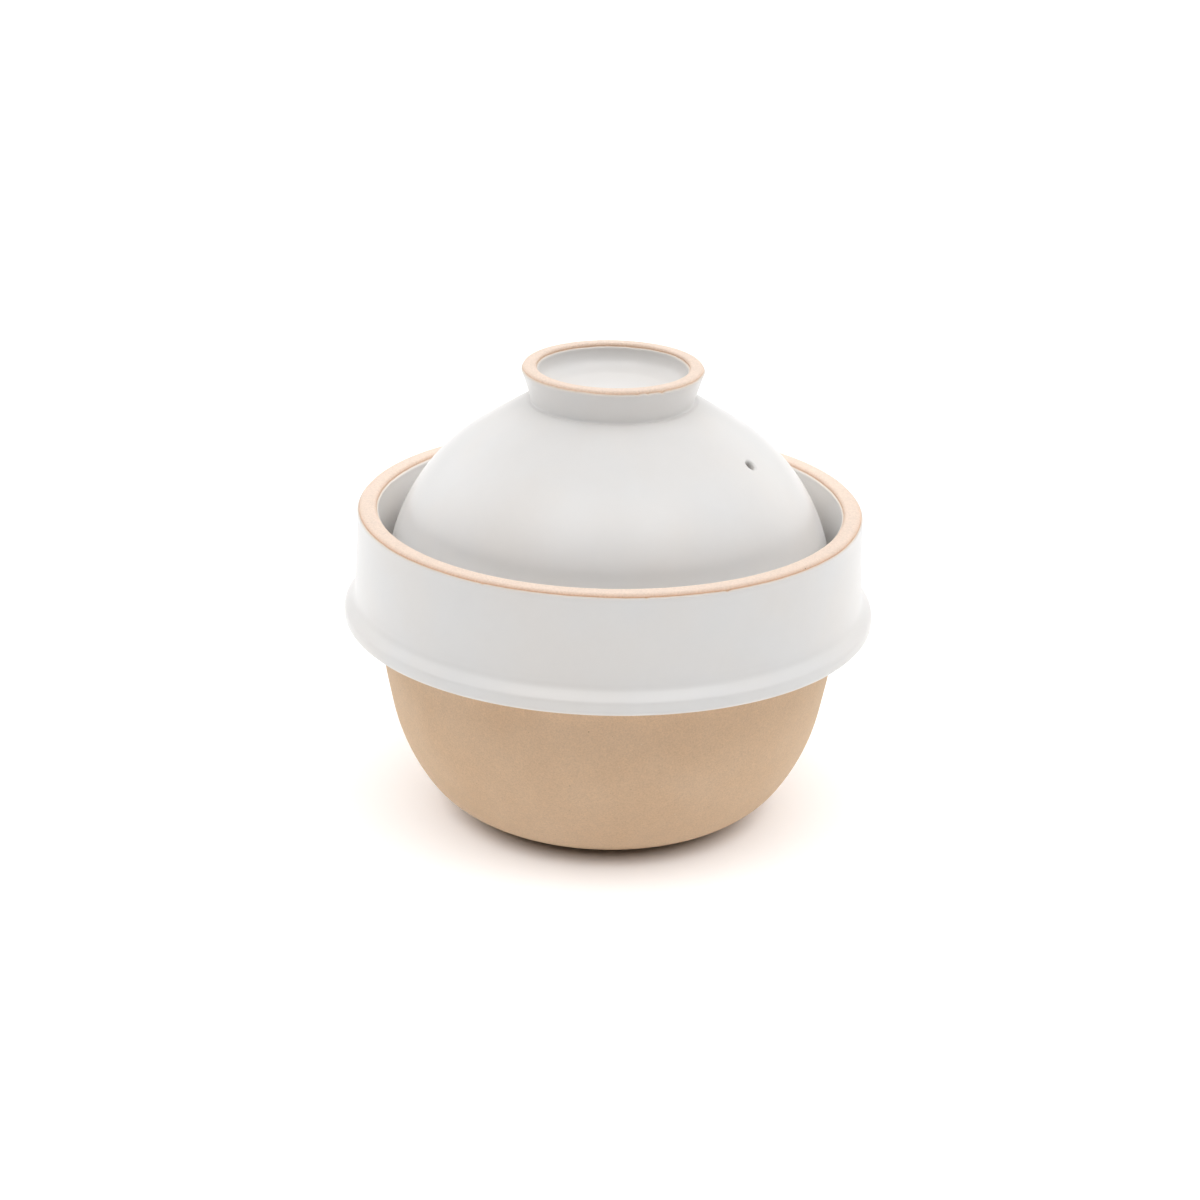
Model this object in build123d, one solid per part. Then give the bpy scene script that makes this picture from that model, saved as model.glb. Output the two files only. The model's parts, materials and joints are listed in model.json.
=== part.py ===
from build123d import *
import math
import os

# Lidded clay pot for cooking rice: a deep bowl whose straight collar rises round a domed lid, with a
# flange under the collar and a ring knob on the lid. Millimetres, +Z up, the origin on the pot's axis
# at the level that it stands on. -Y is the front, and the steam hole is on the front's right.

# Pot
rim_radius = 80.0               # bare clay at the top of the collar
pot_height = 102.0
collar_wall = 5.6
collar_flare = 1.2              # how much wider the collar is above the flange than at its rim
rim_rounding = 1.2
flange_reach = 4.7              # how far the flange stands out past the rim
flange_height = 65.0            # underside of the flange above the table
lip_height = 3.7                # upright edge of the flange
flange_slope_height = 4.8       # from the top of that edge up to the collar's wall
flange_slope_rounding = 7.0
lip_top_rounding = 2.2
lip_foot_rounding = 1.6
bowl_inset = 4.8                # how far inside the rim's radius the bowl meets the flange
bowl_joint_rounding = 2.0
bowl_curve_shares = [(0.797, 0.200), (0.929, 0.560)]    # of the bowl's radius and height
foot_radius = 35.3
foot_ring_width = 8.3
foot_recess_depth = 1.0
foot_recess_rounding = 0.8
floor_thickness = 8.0
ledge_rise = 8.0                # the ledge that carries the lid, above the flange's underside
ledge_width = 7.9
ledge_rounding = 1.2
collar_foot_rounding = 1.5

# Lid
lid_side_gap = 3.2              # clay of the lid's edge to clay of the collar, all round
lid_wall = 5.0
lid_rise = 63.5                 # from the lid's edge up to the root of the knob
lid_edge_height = 2.0           # the edge is upright this far
lid_edge_rounding = 0.8
dome_curve_share = (0.626, 0.820)       # of the edge's radius and the rise
steam_hole_diameter = 3.5
steam_hole_arc_share = 0.937    # how far up the dome's long arc it is
steam_hole_turn = -26.0         # degrees from +X, towards the front

# Knob
knob_height = 11.7
knob_neck_radius = 25.0
knob_root_reach = 2.0           # how far the knob's root spreads past its neck
knob_rim_reach = 3.8            # and how far its rim does
knob_ring_width = 4.6
knob_rim_rounding = 0.9
knob_root_rounding = 1.8
knob_floor = 3.3                # clay under the dish
dish_draft = 0.8                # how much the dish narrows before its corner
dish_rounding = 6.5
dish_rounding_limit_share = 0.82        # of the dish's depth

# Glaze
glaze_thickness = 0.4
rim_glaze_drop = 1.0            # bare clay below each rim, before the glaze starts
edge_glaze_drop = 2.5           # bare clay round the lid's edge and round the bowl's mouth
hole_glaze_gap = 0.25           # the glaze draws back this far from the steam hole

# Places that follow from those
flange_radius = rim_radius + flange_reach
bowl_radius = rim_radius - bowl_inset
foot_recess_radius = foot_radius - foot_ring_width
ledge_height = flange_height + ledge_rise
collar_radius = rim_radius - collar_wall
ledge_radius = collar_radius - ledge_width
lid_radius = collar_radius - lid_side_gap
knob_root_height = ledge_height + lid_rise
knob_root_radius = knob_neck_radius + knob_root_reach
knob_rim_radius = knob_neck_radius + knob_rim_reach
knob_top = knob_root_height + knob_height
lid_ceiling = knob_root_height - lid_wall
lid_inner_radius = lid_radius - lid_wall
clear_of_part = flange_radius + rim_radius


def smooth_curve(start, direction, points):
    """Arcs through the points in turn, each one starting the way that the last one ends."""
    arcs = []
    for point in points:
        arcs.append(TangentArc(start, point, tangent=direction))
        start = arcs[-1] @ 1
        direction = arcs[-1] % 1
    return arcs


def closed_face(edges, corners):
    """The face that starts with the edges, goes on through the corners and closes itself."""
    return make_face(edges + [Polyline(edges[-1] @ 1, *corners, edges[0] @ 0)])


def rounded(face, roundings):
    """The face with the corner nearest to each place rounded."""
    for place, radius in roundings:
        face = fillet(face.vertices().sort_by_distance(place)[0], radius)
    return face


def region(inner_radius, outer_radius, low, high):
    """A rectangle of the half section."""
    centre = Pos((inner_radius + outer_radius) / 2, (low + high) / 2)
    return centre * Rectangle(outer_radius - inner_radius, high - low)


def turned(face):
    """The half section turned about the pot's axis."""
    return revolve(Plane.XZ * face, Axis.Z)


def coat(clay):
    """The glaze that would cover a whole half section of clay."""
    return offset(clay, glaze_thickness, kind=Kind.ARC) - clay


def drawn_afresh(sketch):
    """The sketch's one face again, from plain lines and arcs, so that a hole can be cut through it."""
    edges = []
    for edge in sketch.face().outer_wire().edges():
        if edge.geom_type == GeomType.LINE:
            edges.append(Line(edge @ 0, edge @ 1))
        else:
            edges.append(ThreePointArc(edge @ 0, edge @ 0.5, edge @ 1))
    return make_face(edges)


def bowl_curve(inner_foot, low, top_radius, high):
    """One side of the bowl, from its foot to its mouth."""
    rise = high - low
    points = [(top_radius * across, low + rise * up) for across, up in bowl_curve_shares]
    return smooth_curve((inner_foot, low), (1, 0), points + [(top_radius, high)])


def bowl_hollow():
    """Half section of the space inside the bowl, up to the ledge."""
    inner_foot = foot_radius * ledge_radius / bowl_radius
    inside = bowl_curve(inner_foot, floor_thickness, ledge_radius, ledge_height)
    return closed_face(inside, [(0, ledge_height), (0, floor_thickness)])


def pot_section():
    """Half section of the pot's clay: bowl, flange, collar and ledge."""
    outside = bowl_curve(foot_radius, 0, bowl_radius, flange_height)
    lip_top = flange_height + lip_height
    slope_top = lip_top + flange_slope_height
    collar_foot = (rim_radius + collar_flare, slope_top)
    corners = [(flange_radius, flange_height), (flange_radius, lip_top), collar_foot,
               (rim_radius, pot_height), (collar_radius, pot_height), (collar_radius, ledge_height),
               (0, ledge_height), (0, foot_recess_depth), (foot_recess_radius, foot_recess_depth),
               (foot_recess_radius, 0)]
    clay = closed_face(outside, corners) - bowl_hollow()
    return rounded(clay, [
        ((bowl_radius, flange_height), bowl_joint_rounding),
        ((flange_radius, flange_height), lip_foot_rounding),
        ((flange_radius, lip_top), lip_top_rounding),
        (collar_foot, flange_slope_rounding),
        ((rim_radius, pot_height), rim_rounding),
        ((collar_radius, pot_height), rim_rounding),
        ((collar_radius, ledge_height), collar_foot_rounding),
        ((ledge_radius, ledge_height), ledge_rounding),
        ((foot_recess_radius, 0), foot_recess_rounding)])


def pot_glazes(clay):
    """Half sections of the three coats on the pot: outside, collar's inside and bowl's inside."""
    collar_middle = (rim_radius + collar_radius) / 2
    glaze_top = pot_height - rim_glaze_drop
    whole = coat(clay)
    underside_end = bowl_radius + bowl_joint_rounding
    outside = whole & region(max(collar_middle, underside_end), clear_of_part, 0, glaze_top)
    collar_inside = whole & region(0, collar_middle, ledge_height + collar_foot_rounding, glaze_top)
    bowl_inside = whole & bowl_hollow() & region(0, bowl_radius, 0, ledge_height - edge_glaze_drop)
    return [drawn_afresh(part) for part in (outside, collar_inside, bowl_inside)]


def dome_curve():
    """The dome's outside, from the top of its upright edge to the root of the knob."""
    across, up = dome_curve_share
    middle = (lid_radius * across, ledge_height + lid_rise * up)
    edge_top = (lid_radius, ledge_height + lid_edge_height)
    return smooth_curve(edge_top, (0, 1), [middle, (knob_root_radius, knob_root_height)])


def lid_hollow():
    """Half section of the space under the dome, above the level of its edge."""
    across, up = dome_curve_share
    middle = (lid_inner_radius * across, ledge_height + (lid_ceiling - ledge_height) * up)
    ceiling = smooth_curve((0, lid_ceiling), (1, 0), [middle, (lid_inner_radius, ledge_height)])
    return closed_face(ceiling, [(0, ledge_height)])


def dome_section():
    """Half section of the lid's dome, flat on top where the knob is joined on."""
    corners = [(0, knob_root_height), (0, ledge_height), (lid_radius, ledge_height)]
    clay = closed_face(dome_curve(), corners) - lid_hollow()
    return rounded(clay, [
        ((lid_radius, ledge_height), lid_edge_rounding),
        ((lid_inner_radius, ledge_height), lid_edge_rounding)])


def knob_section():
    """Half section of the knob: a low ring, wider at its rim, with a dished floor."""
    dish_floor = knob_root_height + knob_floor
    dish_radius = knob_rim_radius - knob_ring_width
    neck = (knob_neck_radius, knob_root_height + knob_root_rounding)
    dish_corner = (dish_radius - dish_draft, dish_floor)
    clay = make_face(Polyline(
        (0, knob_root_height), (knob_root_radius, knob_root_height), neck, (knob_rim_radius, knob_top),
        (dish_radius, knob_top), dish_corner, (0, dish_floor), close=True))
    return rounded(clay, [
        (neck, knob_root_rounding),
        ((knob_rim_radius, knob_top), knob_rim_rounding),
        ((dish_radius, knob_top), knob_rim_rounding),
        (dish_corner, min(dish_rounding, dish_rounding_limit_share * (knob_top - dish_floor)))])


def lid_glazes(dome, knob):
    """Half sections of the three coats on the lid: outside, knob's dish and underside."""
    glaze_top = knob_top - rim_glaze_drop
    whole = coat(dome + knob)
    under = whole & lid_hollow()
    above = region(0, clear_of_part, ledge_height + edge_glaze_drop, glaze_top)
    dish_zone = region(0, knob_rim_radius - knob_ring_width, knob_root_height, glaze_top)
    dish = whole & dish_zone
    outside = (whole - under - dish_zone) & above
    return [drawn_afresh(part) for part in (outside, dish, under & above)]


def steam_hole(radius):
    """A bore square to the dome, long enough to pass right through it."""
    long_arc = dome_curve()[0]
    place = long_arc @ steam_hole_arc_share
    upward = long_arc % steam_hole_arc_share
    from_upright = 180 - math.degrees(math.atan2(upward.Y, upward.X))
    bore = Cylinder(radius, lid_wall * 4)
    return Rot(0, 0, steam_hole_turn) * Pos(place.X, 0, place.Y) * Rot(0, from_upright, 0) * bore


def build():
    """Every piece by its name."""
    pot_clay = pot_section()
    pot_outside, collar_inside, bowl_inside = pot_glazes(pot_clay)
    dome = dome_section()
    knob = knob_section()
    lid_outside, dish, lid_inside = lid_glazes(dome, knob)
    clay_hole = steam_hole(steam_hole_diameter / 2)
    glaze_hole = steam_hole(steam_hole_diameter / 2 + hole_glaze_gap)
    return {
        "pot_body": turned(pot_clay),
        "pot_outer_glaze": turned(pot_outside),
        "collar_inner_glaze": turned(collar_inside),
        "bowl_inner_glaze": turned(bowl_inside),
        "lid_dome": turned(dome) - clay_hole,
        "lid_knob": turned(knob),
        "lid_outer_glaze": turned(lid_outside) - glaze_hole,
        "knob_dish_glaze": turned(dish),
        "lid_inner_glaze": turned(lid_inside) - glaze_hole,
    }


os.makedirs("parts", exist_ok=True)
for name, piece in build().items():
    export_step(piece, f"parts/{name}.step")
    print(name, "solids", len(piece.solids()), "volume", round(piece.volume))
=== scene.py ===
import json
import math
import random

import bmesh
import bpy
import numpy as np
from mathutils import Euler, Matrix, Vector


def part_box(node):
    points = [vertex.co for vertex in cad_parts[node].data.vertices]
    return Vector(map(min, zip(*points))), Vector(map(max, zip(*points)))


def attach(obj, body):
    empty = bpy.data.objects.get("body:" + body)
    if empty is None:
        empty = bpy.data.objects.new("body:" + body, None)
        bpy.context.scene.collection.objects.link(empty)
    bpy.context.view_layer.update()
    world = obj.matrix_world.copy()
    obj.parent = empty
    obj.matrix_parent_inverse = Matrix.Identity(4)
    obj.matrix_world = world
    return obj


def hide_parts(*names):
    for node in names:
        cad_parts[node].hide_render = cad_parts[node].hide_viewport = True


# Donabe, a lidded clay pot for rice: bare buff stoneware with a satin white glaze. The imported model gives
# the places. Outlines are in mm, as pairs (radius, height) of a half section, and the meshes in metres.

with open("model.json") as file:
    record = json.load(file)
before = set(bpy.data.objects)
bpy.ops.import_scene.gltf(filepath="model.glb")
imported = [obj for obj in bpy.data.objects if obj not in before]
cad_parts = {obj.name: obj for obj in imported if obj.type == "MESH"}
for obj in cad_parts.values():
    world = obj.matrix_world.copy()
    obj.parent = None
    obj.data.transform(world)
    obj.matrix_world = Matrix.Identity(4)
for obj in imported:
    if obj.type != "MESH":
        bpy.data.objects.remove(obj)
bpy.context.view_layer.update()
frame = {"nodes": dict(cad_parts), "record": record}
mm = 0.001
tiny = 1e-6         # mm or radians that count as nothing
farOff = 1e3        # mm, farther than any place on the pot
print("frame loaded:", len(frame["nodes"]), "nodes")


# Outline tools

fineness = {        # how finely outlines and walls are divided, in degrees and mm
    "arcTurn": 3, "cornerTurn": 6, "rowTurn": 9, "tick": 0.02, "shortest": 1e-5,
    "row": 2.0, "underRow": 4.0,        # from row to row on a plain wall, and on a coat's underside
    "clayEdge": (0.3, 1.2), "coatEdge": (0.1, 1.0), "hole": (0.4, 6.0),     # closer rows: (step, reach)
    "boreRings": 3,
}


def tangentArc(start, heading, end, stepTurn=fineness["arcTurn"]):
    # the arc that leaves start along heading and goes through end, and the way that it then heads
    start, end = np.array(start, float), np.array(end, float)
    heading = np.array(heading, float) / np.linalg.norm(heading)
    left = np.array([-heading[1], heading[0]])
    chord = end - start
    turn = 2 * math.atan2(left @ chord, heading @ chord)
    if abs(turn) < tiny:
        return np.array([start, end]), heading
    radius = np.linalg.norm(chord) / (2 * math.sin(turn / 2))
    count = max(2, int(abs(turn) / math.radians(stepTurn)) + 1, int(abs(radius * turn)) + 1)
    angles = np.linspace(0, turn, count + 1)[:, None]
    points = start + radius * left + radius * (np.sin(angles) * heading - np.cos(angles) * left)
    return points, math.cos(turn) * heading + math.sin(turn) * left


def smoothCurve(start, heading, through):
    # arcs through the points in turn, each starting the way that the last one ended
    runs = []
    for point in through:
        run, heading = tangentArc(start, heading, point)
        runs.append(run[1:] if runs else run)
        start = point
    return np.vstack(runs)


def trimmed(run, atStart, atEnd):
    # the run without its first and last few mm
    along = np.r_[0, np.cumsum(np.linalg.norm(np.diff(run, axis=0), axis=1))]
    low, high = atStart, along[-1] - atEnd
    first, last = ([np.interp(place, along, run[:, k]) for k in (0, 1)] for place in (low, high))
    return np.vstack([first, run[(along > low + tiny) & (along < high - tiny)], last])


def chained(runs, roundings):
    # one outline of several runs of points, with the corner after each run rounded
    runs = [np.array(run, float) for run in runs]
    cuts = []
    for before, after, rounding in zip(runs, runs[1:], roundings):
        a, b = before[-1] - before[-2], after[1] - after[0]
        turn = abs(math.atan2(a[0] * b[1] - a[1] * b[0], a @ b))
        cuts.append(rounding * math.tan(turn / 2))
    runs = [trimmed(run, start, end) for run, start, end in zip(runs, [0] + cuts, cuts + [0])]
    whole = runs[0]
    for run, cut in zip(runs[1:], cuts):
        if cut > 0:
            bend, _ = tangentArc(whole[-1], whole[-1] - whole[-2], run[0], fineness["cornerTurn"])
            whole = np.vstack([whole, bend[1:-1], run])
        else:
            whole = np.vstack([whole, run[1:]])
    return whole


class Outline:
    # a half section's line, read by the distance along it; the open side is on its left
    def __init__(self, points):
        steps = np.linalg.norm(np.diff(points, axis=0), axis=1)
        kept = steps > fineness["shortest"]
        self.points = points[np.r_[True, kept]]
        steps = steps[kept]
        self.along = np.r_[0, np.cumsum(steps)]
        self.length = self.along[-1]
        lines = np.diff(self.points, axis=0) / steps[:, None]
        ways = np.vstack([lines[:1], lines[:-1] + lines[1:], lines[-1:]])
        ways /= np.linalg.norm(ways, axis=1)[:, None]
        self.normals = np.column_stack([-ways[:, 1], ways[:, 0]])
        self.bends = np.r_[0, np.cumsum(np.arccos(np.clip((ways[1:] * ways[:-1]).sum(1), -1, 1)))]

    def at(self, places, lift=0.0):
        # the point at that distance along the line, lifted off it by so much
        places = np.asarray(places, float)
        point = np.stack([np.interp(places, self.along, self.points[:, k]) for k in (0, 1)], -1)
        normal = np.stack([np.interp(places, self.along, self.normals[:, k]) for k in (0, 1)], -1)
        normal /= np.linalg.norm(normal, axis=-1)[..., None]
        return point + normal * np.broadcast_to(lift, places.shape)[..., None]

    def nearest(self, point):
        # how far along the line its nearest place to the point is
        starts, steps = self.points[:-1], np.diff(self.points, axis=0)
        share = np.clip(((point - starts) * steps).sum(1) / (steps ** 2).sum(1), 0, 1)
        best = np.linalg.norm(starts + share[:, None] * steps - point, axis=1).argmin()
        return self.along[best] + share[best] * np.linalg.norm(steps[best])

    def rows(self, stops, coarse, fine=()):
        # places from stop to stop in coarse steps, which are closer where the line bends, and near each of
        # the fine (place, step, reach)
        tick = fineness["tick"]
        ticks = np.arange(0, self.length + tick, tick)
        bends = np.gradient(np.interp(ticks, self.along, self.bends), ticks)
        weight = 1 / coarse + bends / math.radians(fineness["rowTurn"])
        for place, step, reach in fine:
            weight += (1 / step - 1 / coarse) * np.exp(-((ticks - place) / reach) ** 2)
        total = np.r_[0, np.cumsum((weight[1:] + weight[:-1]) / 2 * tick)]
        places = []
        for low, high in zip(stops, stops[1:]):
            a, b = np.interp([low, high], ticks, total)
            spread = np.linspace(a, b, max(1, round(b - a)) + 1)
            places.append(np.interp(spread, total, ticks)[:-1])
        return np.r_[np.concatenate(places), stops[-1]]


# Materials

def linear(code):
    # the linear colour of an sRGB hex value
    parts = [int(code[k:k + 2], 16) / 255 for k in (1, 3, 5)]
    return [c / 12.92 if c <= 0.04045 else ((c + 0.055) / 1.055) ** 2.4 for c in parts] + [1.0]


def addNode(tree, kind, inputs, **settings):
    # a node with its settings; an input takes a value or another node's output
    node = tree.nodes.new(kind)
    for key, value in settings.items():
        setattr(node, key, value)
    for key, value in inputs.items():
        if isinstance(value, bpy.types.NodeSocket):
            tree.links.new(value, node.inputs[key])
        else:
            node.inputs[key].default_value = value
    return node


def perMetre(size):
    # the scale that gives a texture features of that size in mm
    return 1 / (size * mm)


def newMaterial(name):
    material = bpy.data.materials.new(name)
    material.use_nodes = True
    return material, material.node_tree, material.node_tree.nodes["Principled BSDF"]


mixFirst, mixSecond, mixColour = 6, 7, 2            # the colour sockets of a Mix node, in and out
wholeNoise = {"From Min": 0.3, "From Max": 0.7}     # nearly all values of a noise
midNoise = {"From Min": 0.35, "From Max": 0.65}     # its middle ones, for patches of two colours
waveWidth = math.tau / 20                           # of a Wave texture's bands at scale 1

clayLook = {        # sizes, spacings, heights and reaches in mm
    # the top faces' paler colour is partly wiped clay and partly painted light where light falls on them
    "colour": "#DEC2A3", "patch": "#DBBD9C", "wipedAndLit": "#EAD8C9", "toasted": "#CE9463",
    "patchSize": 26.0, "mottleSize": 3.5, "mottleTones": (0.975, 1.02),
    "grainSize": 0.55, "gritSize": 0.8,         # both really finer, and drawn as coarse as they need to show
    "grainTones": (0.90, 1.075), "gritHeight": 0.05,
    "specks": {     # from speck to speck, the largest one's radius as a share of that, colour, strength
        "iron": (5.0, 0.075, "#6E5440", 0.85),
        "dust": (2.1, 0.10, "#6E5440", 0.38),
        "grog": (2.2, 0.13, "#F0DFCC", 0.40),
    },
    "speckless": 0.5, "speckSoftness": 0.35,    # the share of cells without a speck, and of a speck's radius
    "ringSpacing": 2.2, "ringHeight": 0.012,    # what the turning tool left
    "roughness": (0.80, 0.95), "diffuseRoughness": 0.8, "ior": 1.5,
    "toastedReach": 0.55, "wipedAndLitReach": 1.5,
}


def buffStoneware():
    # Unglazed buff stoneware, turned, sponged smooth and fired: wholly matt, with fine grit, small iron
    # specks and pale grog. It is paler on the rims' top faces, partly wiped clay and partly painted light
    # where the light falls on them, and toasted orange beside the glaze.
    look = clayLook
    material, tree, shader = newMaterial("buff stoneware")
    place = addNode(tree, "ShaderNodeTexCoord", {}).outputs["Object"]
    patch = addNode(tree, "ShaderNodeTexNoise",
                    {"Vector": place, "Scale": perMetre(look["patchSize"]), "Detail": 3.0})
    mottle = addNode(tree, "ShaderNodeTexNoise",
                     {"Vector": place, "Scale": perMetre(look["mottleSize"]), "Detail": 4.0})
    grain = addNode(tree, "ShaderNodeTexNoise",
                    {"Vector": place, "Scale": perMetre(look["grainSize"]), "Detail": 2.0, "Roughness": 0.7})
    patches = addNode(tree, "ShaderNodeMapRange", {"Value": patch.outputs["Fac"], **midNoise})
    colour = addNode(tree, "ShaderNodeMix", {
        "Factor": patches.outputs["Result"],
        mixFirst: linear(look["colour"]),
        mixSecond: linear(look["patch"])}, data_type="RGBA").outputs[mixColour]
    # the top faces' paler colour is partly wiped clay and partly painted light
    for value, tint in (("wipedAndLit", look["wipedAndLit"]), ("toast", look["toasted"])):
        share = addNode(tree, "ShaderNodeAttribute", {}, attribute_name=value).outputs["Fac"]
        colour = addNode(tree, "ShaderNodeMix", {
            "Factor": share, mixFirst: colour, mixSecond: linear(tint)},
            data_type="RGBA").outputs[mixColour]

    # small changes of tone: mottling and the clay's grain
    for source, (least, most) in ((mottle, look["mottleTones"]), (grain, look["grainTones"])):
        tone = addNode(tree, "ShaderNodeMapRange", {
            "Value": source.outputs["Fac"], **wholeNoise, "To Min": least, "To Max": most})
        colour = addNode(tree, "ShaderNodeVectorMath", {0: colour, "Scale": tone.outputs["Result"]},
                         operation="SCALE").outputs["Vector"]

    # specks: some cells of a cell pattern hold one, each of its own size, and the iron ones are pits too
    for kind, (spacing, size, tint, strength) in look["specks"].items():
        cells = addNode(tree, "ShaderNodeTexVoronoi", {"Vector": place, "Scale": perMetre(spacing)})
        chance = addNode(tree, "ShaderNodeSeparateColor", {"Color": cells.outputs["Color"]})
        reach = addNode(tree, "ShaderNodeMapRange", {
            "Value": chance.outputs["Red"], "From Min": look["speckless"], "To Max": size})
        inside = addNode(tree, "ShaderNodeMath", {0: reach.outputs["Result"], 1: cells.outputs["Distance"]},
                         operation="SUBTRACT")
        speck = addNode(tree, "ShaderNodeMapRange", {
            "Value": inside.outputs["Value"], "From Max": size * look["speckSoftness"], "To Max": strength})
        colour = addNode(tree, "ShaderNodeMix", {
            "Factor": speck.outputs["Result"], mixFirst: colour, mixSecond: linear(tint)},
            data_type="RGBA").outputs[mixColour]
        if kind == "iron":
            pits = speck.outputs["Result"]
    tree.links.new(colour, shader.inputs["Base Color"])

    least, most = look["roughness"]
    rough = addNode(tree, "ShaderNodeMapRange", {
        "Value": mottle.outputs["Fac"], **wholeNoise, "To Min": least, "To Max": most})
    tree.links.new(rough.outputs["Result"], shader.inputs["Roughness"])
    shader.inputs["IOR"].default_value = look["ior"]
    shader.inputs["Diffuse Roughness"].default_value = look["diffuseRoughness"]

    # the grit stands up, the iron specks are tiny pits, and the turning tool left faint rings
    grit = addNode(tree, "ShaderNodeTexNoise",
                   {"Vector": place, "Scale": perMetre(look["gritSize"]), "Detail": 3.0, "Roughness": 0.65})
    pitted = addNode(tree, "ShaderNodeMath", {0: grit.outputs["Fac"], 1: pits}, operation="SUBTRACT")
    rings = addNode(tree, "ShaderNodeTexWave", {
        "Vector": place, "Scale": perMetre(look["ringSpacing"]) * waveWidth,
        "Distortion": 1.2, "Detail": 2.0, "Detail Scale": 2.0}, wave_type="BANDS", bands_direction="Z")
    turned = addNode(tree, "ShaderNodeBump", {
        "Height": rings.outputs["Fac"], "Distance": look["ringHeight"] * mm})
    gritty = addNode(tree, "ShaderNodeBump", {
        "Height": pitted.outputs["Value"], "Distance": look["gritHeight"] * mm,
        "Normal": turned.outputs["Normal"]})
    tree.links.new(gritty.outputs["Normal"], shader.inputs["Normal"])
    return material


glazeLook = {       # sizes, spacings, heights and depths in mm
    "warm": "#DAD7D4", "cool": "#D9D8D7", "thin": "#D2BFAC",
    "paintedLightWarm": "#F4F1ED", "paintedLightCool": "#F3F1EF",     # whiter: painted light on the collar's shaded inside
    "driftSize": 34.0, "cloudSize": 6.0, "cloudTones": (0.993, 1.006),
    "swellSize": 11.0, "swellHeight": 0.05, "peelSize": 1.6, "peelHeight": 0.012,
    "pinholeSpacing": 9.0, "pinholeRadius": 0.022, "pinholeDepth": 0.05,    # the radius is a share of spacing
    "roughness": (0.29, 0.35),          # all above 0.28, as a range across that denoises into blotches
    "diffuseRoughness": 0.3, "ior": 1.5,
}


def satinGlaze(name, warm, cool):
    # Opaque satin white glaze, dipped and fused: a soft sheen without sharp reflections, very slight drifts
    # from warm to cool white, a faint skin like an orange's, and a little clay showing where it thins.
    look = glazeLook
    material, tree, shader = newMaterial(name)
    place = addNode(tree, "ShaderNodeTexCoord", {}).outputs["Object"]
    drift = addNode(tree, "ShaderNodeTexNoise",
                    {"Vector": place, "Scale": perMetre(look["driftSize"]), "Detail": 3.0})
    clouds = addNode(tree, "ShaderNodeTexNoise",
                     {"Vector": place, "Scale": perMetre(look["cloudSize"]), "Detail": 4.0})
    warmth = addNode(tree, "ShaderNodeMapRange", {"Value": drift.outputs["Fac"], **midNoise})
    white = addNode(tree, "ShaderNodeMix", {
        "Factor": warmth.outputs["Result"], mixFirst: linear(warm), mixSecond: linear(cool)},
        data_type="RGBA")
    least, most = look["cloudTones"]
    tone = addNode(tree, "ShaderNodeMapRange", {
        "Value": clouds.outputs["Fac"], **wholeNoise, "To Min": least, "To Max": most})
    toned = addNode(tree, "ShaderNodeVectorMath", {
        0: white.outputs[mixColour], "Scale": tone.outputs["Result"]}, operation="SCALE")
    thin = addNode(tree, "ShaderNodeAttribute", {}, attribute_name="thin")
    shown = addNode(tree, "ShaderNodeMix", {
        "Factor": thin.outputs["Fac"], mixFirst: toned.outputs["Vector"], mixSecond: linear(look["thin"])},
        data_type="RGBA")
    tree.links.new(shown.outputs[mixColour], shader.inputs["Base Color"])

    least, most = look["roughness"]
    rough = addNode(tree, "ShaderNodeMapRange", {
        "Value": clouds.outputs["Fac"], **wholeNoise, "To Min": least, "To Max": most})
    tree.links.new(rough.outputs["Result"], shader.inputs["Roughness"])
    shader.inputs["IOR"].default_value = look["ior"]
    shader.inputs["Diffuse Roughness"].default_value = look["diffuseRoughness"]

    # gentle swells, the fine skin, and a rare pinhole
    swell = addNode(tree, "ShaderNodeTexNoise",
                    {"Vector": place, "Scale": perMetre(look["swellSize"]), "Detail": 1.0})
    peel = addNode(tree, "ShaderNodeTexNoise",
                   {"Vector": place, "Scale": perMetre(look["peelSize"]), "Detail": 2.0})
    cells = addNode(tree, "ShaderNodeTexVoronoi",
                    {"Vector": place, "Scale": perMetre(look["pinholeSpacing"])})
    pinhole = addNode(tree, "ShaderNodeMapRange",
                      {"Value": cells.outputs["Distance"], "From Max": look["pinholeRadius"]})
    normal = None
    for height, depth in (
            (swell.outputs["Fac"], look["swellHeight"]),
            (peel.outputs["Fac"], look["peelHeight"]),
            (pinhole.outputs["Result"], look["pinholeDepth"])):
        inputs = {"Height": height, "Distance": depth * mm}
        if normal:
            inputs["Normal"] = normal
        normal = addNode(tree, "ShaderNodeBump", inputs).outputs["Normal"]
    tree.links.new(normal, shader.inputs["Normal"])
    return material


clay = buffStoneware()
glaze = satinGlaze("satin white glaze", glazeLook["warm"], glazeLook["cool"])
# a whiter copy of the glaze for the collar's inside: painted light, standing in for light in its shade
paintedLightGlaze = satinGlaze("satin white glaze painted lighter", glazeLook["paintedLightWarm"], glazeLook["paintedLightCool"])
print("materials made")


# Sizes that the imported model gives, in mm

def turnedSize(node):
    # outer radius, lowest and highest place of a turned node
    low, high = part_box(node)
    return high.x / mm, low.z / mm, high.z / mm


flangeRadius, _, potHeight = turnedSize("pot_body")
glazedRadius, glazedLow, outerTop = turnedSize("pot_outer_glaze")
collarRadius, collarLow, collarTop = turnedSize("collar_inner_glaze")
_, floorHeight, bowlTop = turnedSize("bowl_inner_glaze")
lidRadius, ledgeHeight, knobRootHeight = turnedSize("lid_dome")
knobRimRadius, _, knobTop = turnedSize("lid_knob")
_, lidLow, knobGlazeTop = turnedSize("lid_outer_glaze")
_, dishFloor, _ = turnedSize("knob_dish_glaze")
_, _, lidCeiling = turnedSize("lid_inner_glaze")
coatThickness = glazedRadius - flangeRadius
flangeHeight = glazedLow + coatThickness

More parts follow.
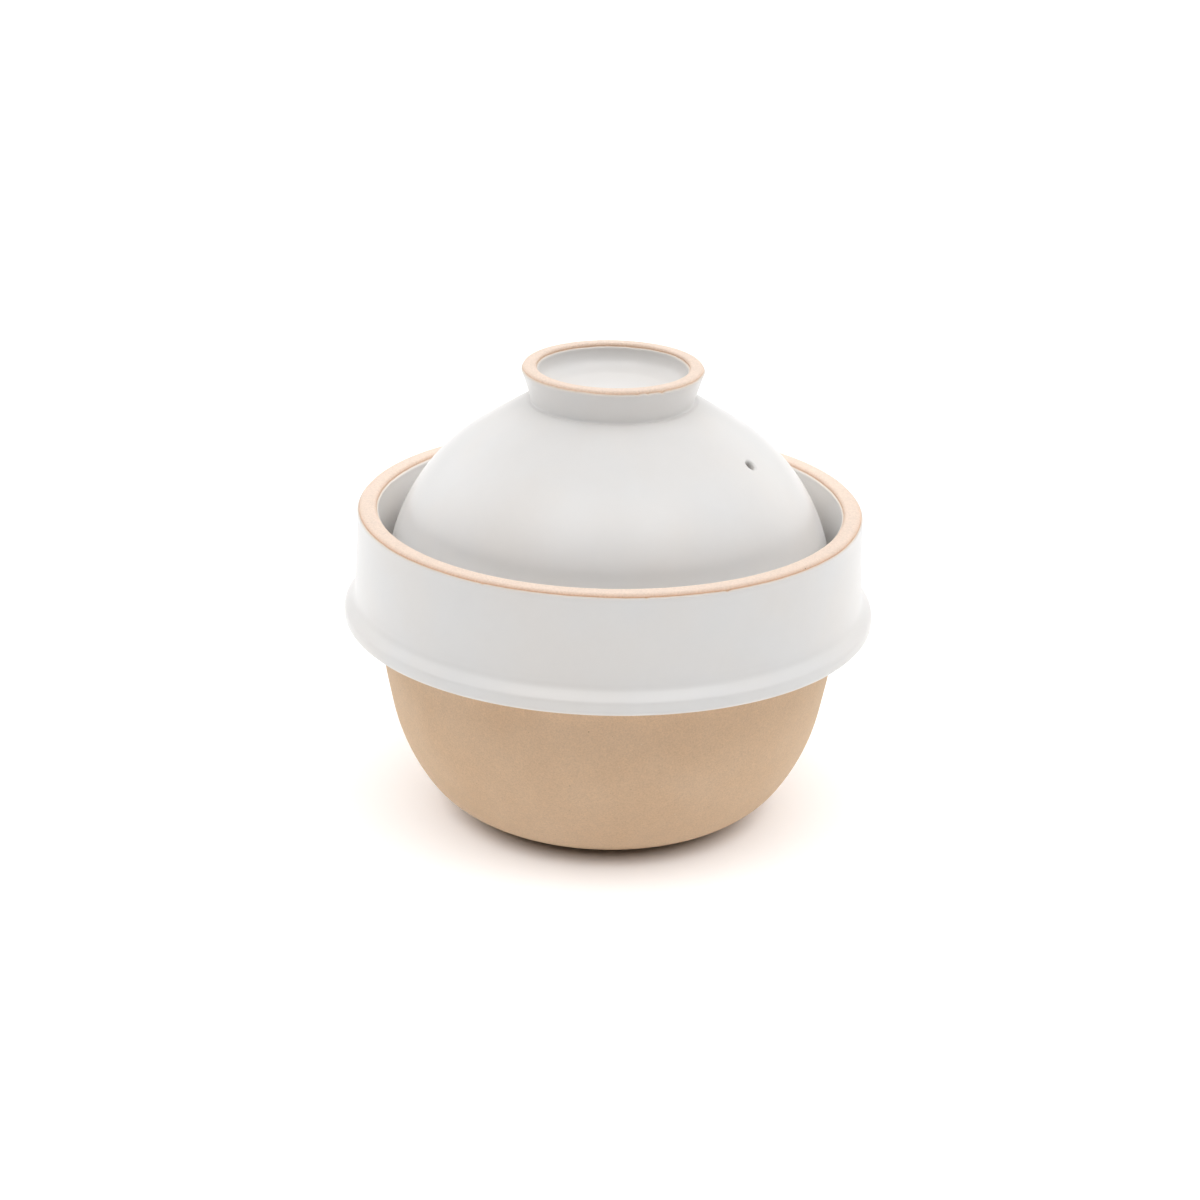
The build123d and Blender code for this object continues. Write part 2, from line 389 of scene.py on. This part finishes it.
# The other sizes, in mm and degrees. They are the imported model's, apart from three places that follow the
# photograph: a flatter slope above the flange's edge, a crisp knob root, and glaze down in the steam hole.
potShape = {
    "collarWall": 5.6, "collarFlare": 1.2, "rimRounding": 1.2, "wipedAndLitDepth": 0.5,
    "lipHeight": 3.7, "slopeHeight": 3.8, "slopeRounding": 5.0, "lipTopRounding": 2.2, "lipFootRounding": 1.6,
    "bowlRadius": 75.2, "bowlJointRounding": 2.0, "bowlShares": ((0.797, 0.200), (0.929, 0.560)),
    "footRadius": 35.3, "footRingWidth": 8.3, "recessDepth": 1.0, "recessRounding": 0.8,
    "ledgeWidth": 7.9, "ledgeRounding": 1.2, "collarFootRounding": 1.5,
}
lidShape = {
    "wall": 5.0, "edgeHeight": 2.0, "edgeRounding": 0.8, "domeShare": (0.626, 0.820), "domeTopRounding": 1.3,
    "knobNeck": 25.0, "knobRootReach": 2.0, "creaseRounding": 1.1, "knobRimRounding": 0.9, "wipedAndLitDepth": 0.3,
    "knobRimCorner": 0.41,      # how far the rim's rounding takes its corner back
    "ringWidth": 4.6, "dishDraft": 0.8, "dishRounding": 6.5,
    "holeArcShare": 0.937, "holeTurn": -26.0, "holeRadius": 1.75, "holeRounding": 0.4,
    "glazedHoleRadius": 1.68, "glazedHoleRounding": 0.6, "underHoleRadius": 2.1,
    "glazedHoleDepth": 2.9, "glazedHoleShares": (0.35, 0.7, 0.92, 1.0, 0.6),    # of that depth, ring by ring
    "glazeNarrowing": 0.05, "glazeBuried": 0.1,     # how the glaze in the hole ends, under the clay's face
}
rimRadius = collarRadius + potShape["collarWall"]
ledgeRadius = collarRadius - potShape["ledgeWidth"]
lidInnerRadius = lidRadius - lidShape["wall"]
knobRimRadius += lidShape["knobRimCorner"]
knobDishRadius = knobRimRadius - lidShape["ringWidth"]
knobCreasePlace = (lidShape["knobNeck"], knobRootHeight)
knobRootPlace = (lidShape["knobNeck"] + lidShape["knobRootReach"], knobRootHeight)


# Outlines

def between(corners):
    # straight runs from corner to corner
    return [corners[k:k + 2] for k in range(len(corners) - 1)]


def bowlSide(foot, low, top, high):
    # one face of the bowl, from its foot up to its mouth
    points = [(top * across, low + (high - low) * up) for across, up in potShape["bowlShares"]]
    return smoothCurve((foot, low), (1, 0), points + [(top, high)])


def potOutline():
    # from the middle of the bowl's floor, up and over the rim, to the middle of the underside
    s = potShape
    lipTop = flangeHeight + s["lipHeight"]
    slopeTop = (rimRadius + s["collarFlare"], lipTop + s["slopeHeight"])
    recessRadius = s["footRadius"] - s["footRingWidth"]
    innerFoot = s["footRadius"] * ledgeRadius / s["bowlRadius"]
    inside = bowlSide(innerFoot, floorHeight, ledgeRadius, ledgeHeight)
    outside = bowlSide(s["footRadius"], 0, s["bowlRadius"], flangeHeight)[::-1]
    collar = [(ledgeRadius, ledgeHeight), (collarRadius, ledgeHeight), (collarRadius, potHeight),
              (rimRadius, potHeight), slopeTop, (flangeRadius, lipTop), (flangeRadius, flangeHeight),
              (s["bowlRadius"], flangeHeight)]
    foot = [(s["footRadius"], 0), (recessRadius, 0), (recessRadius, s["recessDepth"]), (0, s["recessDepth"])]
    runs = [[(0, floorHeight), inside[0]], inside] + between(collar) + [outside] + between(foot)
    roundings = [0, s["ledgeRounding"], s["collarFootRounding"], s["rimRounding"], s["rimRounding"],
                 s["slopeRounding"], s["lipTopRounding"], s["lipFootRounding"], s["bowlJointRounding"],
                 0, s["recessRounding"], s["recessRounding"] / 2]
    return Outline(chained(runs, roundings))


def domeSide():
    # the dome's outside from its edge up to the knob's root, and the steam hole's place on it
    across, up = lidShape["domeShare"]
    start = (lidRadius, ledgeHeight + lidShape["edgeHeight"])
    middle = (lidRadius * across, ledgeHeight + (knobRootHeight - ledgeHeight) * up)
    longArc, _ = tangentArc(start, (0, 1), middle)
    holePlace = longArc[round(lidShape["holeArcShare"] * (len(longArc) - 1))]
    return smoothCurve(start, (0, 1), [middle, knobRootPlace]), holePlace


def domeOutline():
    # from the axis under the knob, down the outside, and up the hollow to the axis
    s = lidShape
    side = domeSide()[0][::-1]
    across, up = s["domeShare"]
    middle = (lidInnerRadius * across, ledgeHeight + (lidCeiling - ledgeHeight) * up)
    hollow = smoothCurve((0, lidCeiling), (1, 0), [middle, (lidInnerRadius, ledgeHeight)])[::-1]
    foot = (lidRadius, ledgeHeight)
    runs = [[(0, knobRootHeight), side[0]], side, [side[-1], foot], [foot, hollow[0]], hollow]
    return Outline(chained(runs, [0, 0, s["edgeRounding"], s["edgeRounding"]]))


def knobOutline():
    # from the middle of the dish, over the ring, and down to the root
    s = lidShape
    corners = [(0, dishFloor), (knobDishRadius - s["dishDraft"], dishFloor), (knobDishRadius, knobTop),
               (knobRimRadius, knobTop), knobCreasePlace, (0, knobRootHeight)]
    roundings = [s["dishRounding"], s["knobRimRounding"], s["knobRimRounding"], 0]
    return Outline(chained(between(corners), roundings))


def lidOutside():
    # what the lid's outer glaze lies on: from the knob's rim, through the crease at its root, to the edge
    s = lidShape
    side = domeSide()[0][::-1]
    runs = [[(knobRimRadius, knobTop), knobCreasePlace], [knobCreasePlace, side[0]], side,
            [side[-1], (lidRadius, ledgeHeight)]]
    return Outline(chained(runs, [s["creaseRounding"], s["domeTopRounding"], 0]))


# Mesh tools

handMade = {        # how far out of true a hand-turned pot is, in mm, with waves as (count, share)
    "seed": 7, "outOfRound": 0.16, "roundWaves": ((2, 1.0), (3, 0.5), (5, 0.22)),
    "twist": 0.01,      # how far those waves turn in a mm of height, in radians
    "rimDip": 0.10, "dipWaves": ((2, 1.0), (3, 0.4)), "dipReach": 14, "lidClearance": 1,
}


def asMade(points):
    # the slight unevenness of turned and fired clay, the same for everything that lies at one place
    h = handMade
    x, y, z = points.T
    angle, radius = np.arctan2(y, x), np.hypot(x, y)
    draw = random.Random(h["seed"])
    swell, dip = np.zeros_like(radius), np.zeros_like(radius)
    for count, share in h["roundWaves"]:
        start = draw.uniform(0, math.tau)
        swell += share * np.cos(count * angle + start + z * draw.uniform(-h["twist"], h["twist"]))
    for count, share in h["dipWaves"]:
        dip += share * np.cos(count * angle + draw.uniform(0, math.tau))
    grown = 1 + swell * h["outOfRound"] / rimRadius
    nearRim = np.clip((z - potHeight + h["dipReach"]) / h["dipReach"], 0, 1)
    nearRim *= radius > lidRadius + h["lidClearance"]       # the rim dips and the lid in it doesn't
    return np.column_stack([x * grown, y * grown, z + h["rimDip"] * dip * nearRim])


coatShape = {       # how a glaze's edge rises, in mm
    "edgeReach": 0.55, "bead": 0.3, "beadPlace": 1.3,       # shares of the thickness and of that reach
    "sunk": 0.08, "thinReach": 0.22, "wanderReach": 6,
}
wanderCounts = (3, 7, 12, 19, 31, 53, 88)       # waves round the pot
# how far each glaze edge wanders and the radius that it lies at, in mm, how toasted the clay beside it is,
# and its nicks as (degrees, width, depth)
glazeEdges = {
    "outerTop": {"seed": 11, "wander": 0.10, "radius": 80, "toast": 0.75,
                 "nicks": ((-64, 0.7, 0.35), (-82, 0.5, 0.2), (-118, 0.6, 0.2))},
    "outerFoot": {"seed": 12, "wander": 0.25, "radius": 77, "toast": 1.0},
    "collarTop": {"seed": 13, "wander": 0.10, "radius": 74, "toast": 0.6},
    "collarFoot": {"seed": 14, "wander": 0.20, "radius": 74, "toast": 1.0},
    "bowlTop": {"seed": 15, "wander": 0.30, "radius": 66, "toast": 1.0},
    "lidEdge": {"seed": 16, "wander": 0.25, "radius": 71, "toast": 1.0},
    "knobTop": {"seed": 17, "wander": 0.10, "radius": 28, "toast": 0.4,
                "nicks": ((-58, 0.7, 0.45), (-68, 0.4, 0.25), (-75, 0.8, 0.3))},
    "dishTop": {"seed": 18, "wander": 0.08, "radius": 23, "toast": 0.45},
    "lidUnder": {"seed": 19, "wander": 0.25, "radius": 66, "toast": 1.0},
}


def wandered(name, angles):
    # how far that glaze edge has drawn back at each angle, in mm
    edge = glazeEdges[name]
    draw = random.Random(edge["seed"])
    line = np.zeros_like(angles)
    for count in wanderCounts:
        line += np.cos(count * angles + draw.uniform(0, math.tau)) * edge["wander"] / count ** 0.5
    for place, width, depth in edge.get("nicks", ()):
        apart = (angles - math.radians(place) + math.pi) % math.tau - math.pi
        line += depth * np.exp(-(apart * edge["radius"] / width) ** 2)
    return line


def coatLift(gap):
    # a coat's height at that distance from its edge: it rises round, with a slight bead, then runs even
    c = coatShape
    inside = np.clip(gap / c["edgeReach"], 0, 1)
    bead = 1 + c["bead"] * np.exp(-(gap / c["edgeReach"] - c["beadPlace"]) ** 2)
    return coatThickness * np.sqrt(1 - (1 - inside) ** 2) * bead


def roundedDrop(away, start, radius):
    # how far a rounded edge that begins at start has dropped at that distance from the middle
    inside = np.clip(1 - (away - start) / radius, 0, 1)
    return radius * (1 - np.sqrt(1 - inside ** 2))


def spun(outline, places, turns, lift):
    # the points of a surface turned from an outline
    flat = outline.at(places, lift)
    return np.stack([flat[..., 0] * np.cos(turns), flat[..., 0] * np.sin(turns), flat[..., 1]], -1)


def gridFaces(index, closed=False):
    # quads between the rows of a grid of point numbers, whose rows go all the way round
    below = index if closed else index[:-1]
    above = np.roll(index, -1, axis=0) if closed else index[1:]
    return np.stack([below, above, np.roll(above, -1, 1), np.roll(below, -1, 1)], -1)


def fan(ring, tip):
    # triangles from a row to the point that closes it
    return np.column_stack([np.full(len(ring), tip), ring, np.roll(ring, -1)]).tolist()


class SteamHole:
    # a round hole through turned walls: it bends the rows and columns near it into rings, and opens the inner
    # ones
    rings, gone = 14, 6     # how many each way from its middle are bent, and opened
    closer = 0.5            # by how much the columns lie closer together there

    def __init__(self, turn):
        self.turn = math.radians(turn)
        steps = np.arange(-self.rings, self.rings + 1)
        self.down, self.across = np.meshgrid(steps, steps, indexing="ij")
        n = self.gone
        self.walk = np.array([(-n, k) for k in range(-n, n)] + [(k, n) for k in range(-n, n)]
                             + [(n, -k) for k in range(-n, n)] + [(-k, -n) for k in range(-n, n)])

    def columnTurns(self, columns):
        # where the columns are round the pot; column 0 goes through the hole
        even = np.arange(columns) * math.tau / columns
        return self.turn + even - self.closer * np.sin(even)

    def bend(self, outline, places, turns, row, middle, radius):
        # moves the grid's places and turns, and returns how far each point is from the hole's middle
        block = (row + self.down, self.across % places.shape[1])
        girth = outline.at(middle)[0]
        a = places[block] - middle
        b = ((turns[block] - self.turn + math.pi) % math.tau - math.pi) * girth
        share = (np.maximum(abs(self.down), abs(self.across)) - self.gone) / (self.rings - self.gone)
        share = np.clip(share, 0, 1)
        circle = radius + (np.abs(b).max() - radius) * share
        square = share ** 2 * (3 - 2 * share)
        way = np.arctan2(self.across, self.down * np.sign(a[-1, 0]))    # the rows may run up the wall
        a = square * a + (1 - square) * circle * np.cos(way)
        b = square * b + (1 - square) * circle * np.sin(way)
        places[block], turns[block] = middle + a, self.turn + b / girth
        away = np.full(places.shape, farOff)
        away[block] = np.hypot(a, b)
        return away

    def ring(self, index, row, side):
        # the point numbers round the opening; side is -1 where the rows run the other way
        return index[row + side * self.walk[:, 0], self.walk[:, 1]]

    def opened(self, faces, rows):
        # the grid's faces without those over the opening
        kept = np.ones(faces.shape[:2], bool)
        for row in rows:
            kept[row - self.gone:row + self.gone, np.arange(-self.gone, self.gone)] = False
        return faces[kept]

    def circle(self, outline, middle, radius, depth):
        # points round the hole's axis, that far under the surface
        r, z = outline.at(middle)
        nr, nz = outline.at(middle, 1.0) - (r, z)
        spin = np.array([math.cos(self.turn), math.sin(self.turn), 0])
        side = np.array([-spin[1], spin[0], 0])
        up = np.array([0, 0, 1])
        axis, downhill = nr * spin + nz * up, nz * spin - nr * up
        way = np.arctan2(self.walk[:, 1], self.walk[:, 0])[:, None]
        return r * spin + z * up - depth * axis + radius * (np.cos(way) * downhill + np.sin(way) * side)


def makePiece(name, node, material, outline, places, turns, lift, tips, values,
              hole=None, holeRows=(), lining=None):
    # The mesh object of one piece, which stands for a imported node. Its rows make a closed loop, or end in two
    # tips on the axis. lining gives the rings of points through the hole. values are what its material reads.
    points = spun(outline, places, turns, lift)
    index = np.arange(places.size).reshape(places.shape)
    faces = gridFaces(index, closed=not tips)
    extra = [np.array([[0, 0, height]]) for height in tips]
    bore = []
    if hole:
        first, last = hole.ring(index, holeRows[0], 1), hole.ring(index, holeRows[1], -1)
        flat = points.reshape(-1, 3)
        faces = hole.opened(faces, holeRows)
        rings = lining(flat[first], flat[last])
        numbers = np.arange(len(rings) * len(first)).reshape(len(rings), len(first))
        numbers += index.size + len(tips)
        bore = gridFaces(np.vstack([first, numbers, last])).reshape(-1, 4).tolist()
        extra += rings
    faces = faces.reshape(-1, 4).tolist() + bore
    if tips:
        faces += fan(index[0], index.size) + fan(index[-1], index.size + 1)
    points = np.vstack([points.reshape(-1, 3), *extra])
    mesh = bpy.data.meshes.new(name)
    mesh.from_pydata((asMade(points) * mm).tolist(), [], faces)
    for key, levels in values.items():
        levels = np.r_[levels.ravel(), np.zeros(len(points) - levels.size)].astype(np.float32)
        mesh.attributes.new(key, "FLOAT", "POINT").data.foreach_set("value", levels)
    shape = bmesh.new()
    shape.from_mesh(mesh)
    bmesh.ops.delete(shape, geom=[v for v in shape.verts if not v.link_faces], context="VERTS")
    bmesh.ops.recalc_face_normals(shape, faces=shape.faces)
    for face in shape.faces:
        face.smooth = True
    shape.to_mesh(mesh)
    shape.free()
    mesh.materials.append(material)
    piece = bpy.data.objects.new(name, mesh)
    bpy.context.scene.collection.objects.link(piece)
    bodies = frame["record"]["behaviour"]["bodies"]
    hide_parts(node)
    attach(piece, next(body for body, nodes in bodies.items() if node in nodes))
    print("made", name, "with", len(mesh.polygons), "faces")


# The pieces

columnCounts = {        # columns round each piece
    "pot_clay": 280, "pot_outside_glaze": 720, "collar_inside_glaze": 640, "bowl_inside_glaze": 320,
    "knob_clay": 320, "knob_dish_coat": 320,
    "lid_clay": 360, "lid_outside_glaze": 450, "lid_inside_glaze": 320,
}


def wallGrid(rows, columns, hole):
    # how far along the outline and how far round each point of a wall is
    turns = hole.columnTurns(columns) if hole else np.arange(columns) * math.tau / columns
    return np.repeat(rows[:, None], columns, 1), np.repeat(turns[None], len(rows), 0)


def throughWall(outline, middle):
    # where the hole's axis comes out on the other side of the wall, along the same outline
    start = outline.at(middle)
    axis = outline.at(middle, 1.0) - start
    depth = (outline.points - start) @ axis
    aside = (outline.points - start) @ np.array([-axis[1], axis[0]])
    near = (depth < -lidShape["wall"] / 2) & (depth > -lidShape["wall"] * 2)
    order = np.argsort(aside[near])
    return float(np.interp(0, aside[near][order], outline.along[near][order]))


def makeClay(name, node, outline, edges, wipedAndLitAbove, hole=None, middle=None):
    # Clay turned from an outline that starts and ends on the axis. edges are its glazes' (place, side, name),
    # with side 1 where a glaze starts and -1 where it ends.
    fine = [(place, *fineness["clayEdge"]) for place, _, _ in edges]
    middles = [middle, throughWall(outline, middle)] if hole else []
    fine += [(place, *fineness["hole"]) for place in middles]
    rows = outline.rows([0.0, *middles, outline.length], fineness["row"], fine)[1:-1]
    places, turns = wallGrid(rows, columnCounts[name], hole)
    lift = np.zeros(places.shape)
    holeRows = [int(np.abs(rows - place).argmin()) for place in middles]
    for row, place in zip(holeRows, middles):
        away = hole.bend(outline, places, turns, row, place, lidShape["holeRadius"])
        lift -= roundedDrop(away, lidShape["holeRadius"], lidShape["holeRounding"])
    toast = np.zeros(places.shape)
    for place, side, edge in edges:
        gap = side * (place - places) + wandered(edge, turns)
        near = np.exp(-np.abs(gap) / clayLook["toastedReach"])
        toast = np.maximum(toast, glazeEdges[edge]["toast"] * near)
    height = outline.at(places)[..., 1]
    # paler on the top faces above that height: partly wiped clay, partly painted light on faces that catch it
    wipedAndLit = np.clip((height - wipedAndLitAbove) / clayLook["wipedAndLitReach"] + 1, 0, 1)
    tips = [outline.at(place)[1] for place in (0, outline.length)]

    def lining(first, last):
        # straight through the clay, from the opening in one face to that in the other
        shares = np.linspace(0, 1, fineness["boreRings"] + 2)[1:-1]
        return [first + (last - first) * share for share in shares]

    makePiece(name, node, clay, outline, places, turns, lift, tips,
              {"toast": toast, "wipedAndLit": wipedAndLit}, hole, holeRows, lining)


def makeCoat(name, node, outline, start, end, startEdge, endEdge, hole=None, middle=None, lined=False,
             material=glaze):
    # A coat of glaze along part of an outline. An end without a named edge lies on the axis, and a lined hole
    # has the glaze run down into it.
    s = lidShape
    ends = [(place, edge, side) for place, edge, side in ((start, startEdge, 1), (end, endEdge, -1)) if edge]
    stops = [start, middle, end] if hole else [start, end]
    fine = [(place, *fineness["coatEdge"]) for place, _, _ in ends]
    fine += [(middle, *fineness["hole"])] if hole else []
    topRows = outline.rows(stops, fineness["row"], fine)
    underRows = (topRows if hole else outline.rows(stops, fineness["underRow"]))[::-1]
    if not startEdge:
        topRows, underRows = topRows[1:], underRows[:-1]
    if not endEdge:
        topRows, underRows = topRows[:-1], underRows[1:]
    onTop = np.r_[np.ones(len(topRows), bool), np.zeros(len(underRows), bool)]
    rows = np.r_[topRows, underRows]
    if not endEdge:
        onTop, rows = np.roll(onTop, len(underRows)), np.roll(rows, len(underRows))
    places, turns = wallGrid(rows, columnCounts[name], hole)
    gap = np.full(places.shape, farOff)
    for place, edge, side in ends:
        off = np.abs(rows - place)[:, None]
        places += side * wandered(edge, turns) * np.clip(1 - off / coatShape["wanderReach"], 0, 1) ** 2
        gap = np.minimum(gap, off)
    holeRows = []
    if hole:
        holeRows = [int(k) for k in np.flatnonzero(np.abs(rows - middle) < tiny)]
        holeRows.sort(key=lambda k: not onTop[k])
        for row in holeRows:
            radius = s["glazedHoleRadius"] if lined and onTop[row] else s["underHoleRadius"]
            away = hole.bend(outline, places, turns, row, middle, radius)
            if onTop[row] and not lined:
                gap = np.minimum(gap, away - radius)
            elif onTop[row]:
                topAway = away
    lift = np.where(onTop[:, None], coatLift(gap), -coatShape["sunk"])
    if lined:
        lift -= roundedDrop(topAway, s["glazedHoleRadius"], s["glazedHoleRounding"]) * onTop[:, None]
    tips = []
    if not (startEdge and endEdge):
        heights = [coatThickness, -coatShape["sunk"]] if endEdge else [-coatShape["sunk"], coatThickness]
        tips = [outline.at(start if endEdge else end, height)[1] for height in heights]

    def lining(first, last):
        # the outer glaze runs a little way down into the hole, and ends inside the clay
        inner, buried = s["glazedHoleRadius"], s["holeRadius"] + s["glazeBuried"]
        radii = (inner, inner, inner + s["glazeNarrowing"], buried, s["underHoleRadius"]) if lined else ()
        return [hole.circle(outline, middle, radius, s["glazedHoleDepth"] * share)
                for radius, share in zip(radii, s["glazedHoleShares"])]

    values = {"thin": np.exp(-gap / coatShape["thinReach"]) * onTop[:, None]}
    makePiece(name, node, material, outline, places, turns, lift, tips, values,
              hole, holeRows, lining)


pot, dome, knob, lidOuter = potOutline(), domeOutline(), knobOutline(), lidOutside()
potEdges = {
    "bowlTop": pot.nearest((ledgeRadius, bowlTop)),
    "collarFoot": pot.nearest((collarRadius, collarLow)),
    "collarTop": pot.nearest((collarRadius, collarTop)),
    "outerTop": pot.nearest((rimRadius, outerTop)),
    "outerFoot": pot.nearest((potShape["bowlRadius"] + potShape["bowlJointRounding"], flangeHeight)),
}
makeClay("pot_clay", "pot_body", pot, [
    (potEdges["bowlTop"], -1, "bowlTop"), (potEdges["collarFoot"], 1, "collarFoot"),
    (potEdges["collarTop"], -1, "collarTop"), (potEdges["outerTop"], 1, "outerTop"),
    (potEdges["outerFoot"], -1, "outerFoot")], potHeight - potShape["wipedAndLitDepth"])
makeCoat("pot_outside_glaze", "pot_outer_glaze", pot, potEdges["outerTop"], potEdges["outerFoot"],
         "outerTop", "outerFoot")
# its whiter glaze is painted light in the collar's shade
makeCoat("collar_inside_glaze", "collar_inner_glaze", pot, potEdges["collarFoot"], potEdges["collarTop"],
         "collarFoot", "collarTop", material=paintedLightGlaze)
makeCoat("bowl_inside_glaze", "bowl_inner_glaze", pot, 0.0, potEdges["bowlTop"], None, "bowlTop")

knobEdges = {
    "dishTop": knob.nearest((knobDishRadius, knobGlazeTop)),
    "knobTop": knob.nearest((knobRimRadius, knobGlazeTop)),
}
makeClay("knob_clay", "lid_knob", knob, [
    (knobEdges["dishTop"], -1, "dishTop"), (knobEdges["knobTop"], 1, "knobTop")],
    knobTop - lidShape["wipedAndLitDepth"])
makeCoat("knob_dish_coat", "knob_dish_glaze", knob, 0.0, knobEdges["dishTop"], None, "dishTop")

steamHole = SteamHole(lidShape["holeTurn"])
holePoint = domeSide()[1]
holeOnDome = dome.nearest(holePoint)
underEdge = dome.nearest((lidInnerRadius, lidLow))
makeClay("lid_clay", "lid_dome", dome, [
    (dome.nearest((lidRadius, lidLow)), -1, "lidEdge"), (underEdge, 1, "lidUnder")],
    farOff, steamHole, holeOnDome)      # no part of it is made paler: not wiped, and no painted light
makeCoat("lid_outside_glaze", "lid_outer_glaze", lidOuter, lidOuter.nearest((knobRimRadius, knobGlazeTop)),
         lidOuter.nearest((lidRadius, lidLow)), "knobTop", "lidEdge",
         steamHole, lidOuter.nearest(holePoint), lined=True)
makeCoat("lid_inside_glaze", "lid_inner_glaze", dome, underEdge, dome.length, "lidUnder", None,
         steamHole, throughWall(dome, holeOnDome))


# Floor, light and camera

studio = {
    "floor": "#F8F7F5", "floorRoughness": 0.9, "floorSize": 30.0,       # metres
    "glow": 0.18, "glowColour": "#EDF3FF",      # the paper glows a little, a painted light, which fades out near the pot into a painted shadow: mm from its axis
    "glowFrom": (45, 55),                       # but not under the pot: mm from its axis
    "even": 0.015,      # light from all round, with a tent of soft lobes added to it
    "lobes": {          # degrees from +X and above the floor, half width in degrees, brightness
        "roofMiddle": (0, 90, 20, 0.98), "back": (90, 25, 30, 1.33),
        "backLeft": (140, 15, 22, 1.42), "backRight": (40, 15, 22, 1.59), "farLeft": (160, 30, 18, 0.92),
        "leftHigh": (175, 50, 25, 1.31), "rightHigh": (5, 50, 25, 2.04),
        "frontLeftHigh": (-130, 62, 16, 3.95), "frontRightHigh": (-50, 62, 16, 3.7),
    },
}


def makeFloor():
    # a sheet of pale matt paper that glows a little away from the pot: painted light, and a painted shadow near
    # the pot where the glow fades out
    mesh = bpy.data.meshes.new("paper_floor")
    shape = bmesh.new()
    bmesh.ops.create_grid(shape, x_segments=8, y_segments=8, size=studio["floorSize"] / 2)
    shape.to_mesh(mesh)
    shape.free()
    material, tree, shader = newMaterial("pale matt paper")
    shader.inputs["Base Color"].default_value = linear(studio["floor"])
    shader.inputs["Roughness"].default_value = studio["floorRoughness"]
    place = addNode(tree, "ShaderNodeTexCoord", {}).outputs["Object"]
    away = addNode(tree, "ShaderNodeVectorMath", {0: place}, operation="LENGTH")
    near, far = studio["glowFrom"]
    # the glow is painted light, and its fade near the pot paints a shadow round the foot
    glow = addNode(tree, "ShaderNodeMapRange", {
        "Value": away.outputs["Value"],
        "From Min": near * mm, "From Max": far * mm, "To Max": studio["glow"]})
    shader.inputs["Emission Color"].default_value = linear(studio["glowColour"])
    tree.links.new(glow.outputs["Result"], shader.inputs["Emission Strength"])
    mesh.materials.append(material)
    floor = bpy.data.objects.new("paper_floor", mesh)
    bpy.context.scene.collection.objects.link(floor)


def makeTent():
    # the world's light, brightest along each lobe's axis and down to a third of that at its half width
    world = bpy.data.worlds.new("light tent")
    world.use_nodes = True
    tree = world.node_tree
    way = addNode(tree, "ShaderNodeTexCoord", {}).outputs["Generated"]
    total = studio["even"]
    for name, (turn, rise, width, brightness) in studio["lobes"].items():
        turn, rise = math.radians(turn), math.radians(rise)
        axis = (math.cos(turn) * math.cos(rise), math.sin(turn) * math.cos(rise), math.sin(rise))
        sharpness = 1 / (1 - math.cos(math.radians(width)))
        facing = addNode(tree, "ShaderNodeVectorMath", {0: way, 1: axis}, operation="DOT_PRODUCT")
        fall = addNode(tree, "ShaderNodeMath", {0: facing.outputs["Value"], 1: sharpness, 2: -sharpness},
                       operation="MULTIPLY_ADD")
        shape = addNode(tree, "ShaderNodeMath", {0: fall.outputs["Value"]}, operation="EXPONENT")
        total = addNode(tree, "ShaderNodeMath", {0: shape.outputs["Value"], 1: brightness, 2: total},
                        operation="MULTIPLY_ADD", name=name).outputs["Value"]
    tree.links.new(total, tree.nodes["Background"].inputs["Strength"])
    tree.nodes["Background"].inputs["Color"].default_value = (1, 1, 1, 1)
    bpy.context.scene.world = world


camera = {      # metres, degrees and pixels, from the photograph's ellipses, and the sensor in mm
    "back": 0.8745, "height": 0.4107, "down": 21.35, "toLeft": 0.18, "roll": 1.12,
    "pixelsToPlane": 2900, "photoWidth": 1200, "sensor": 36.0,
    "farthest": 50,
}


def makeCamera():
    c = camera
    lens = bpy.data.cameras.new("camera")
    lens.sensor_width = c["sensor"]
    lens.lens = c["pixelsToPlane"] / c["photoWidth"] * c["sensor"]
    lens.clip_end = c["farthest"]
    eye = bpy.data.objects.new("camera", lens)
    eye.location = (0, -c["back"], c["height"])
    tilt = Euler((math.radians(90 - c["down"]), 0, math.radians(c["toLeft"]))).to_matrix()
    eye.rotation_euler = (tilt @ Euler((0, 0, math.radians(c["roll"]))).to_matrix()).to_euler()
    bpy.context.scene.collection.objects.link(eye)
    bpy.context.scene.camera = eye


makeFloor()
makeTent()
makeCamera()
bpy.context.scene.view_settings.view_transform = "Standard"
print("stage made")
